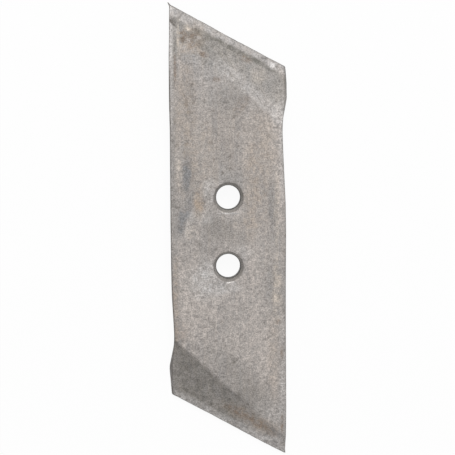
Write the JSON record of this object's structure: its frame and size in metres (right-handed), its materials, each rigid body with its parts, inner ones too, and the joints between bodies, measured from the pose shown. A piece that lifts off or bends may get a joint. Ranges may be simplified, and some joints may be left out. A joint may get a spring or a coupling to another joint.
{
  "type": "plough share",
  "caption": "Flat forged steel share point for a plough, slanting and drawn out to a cutting edge at both ends, with bolt holes through its middle.",
  "frame": {"origin": "midway between the two bolt holes, on the flat back", "axes": "+X across the bar, +Y along the bar through both bolt holes, +Z out of the worked face, where the bolt heads sit"},
  "size_m": [0.0691, 0.2638, 0.012],
  "materials": {
    "forged_steel": "dull forged steel with thin grey scale, tan and light rust staining"
  },
  "bodies": {
    "root": {"plough_share": "forged_steel"}
  },
  "joints": []
}
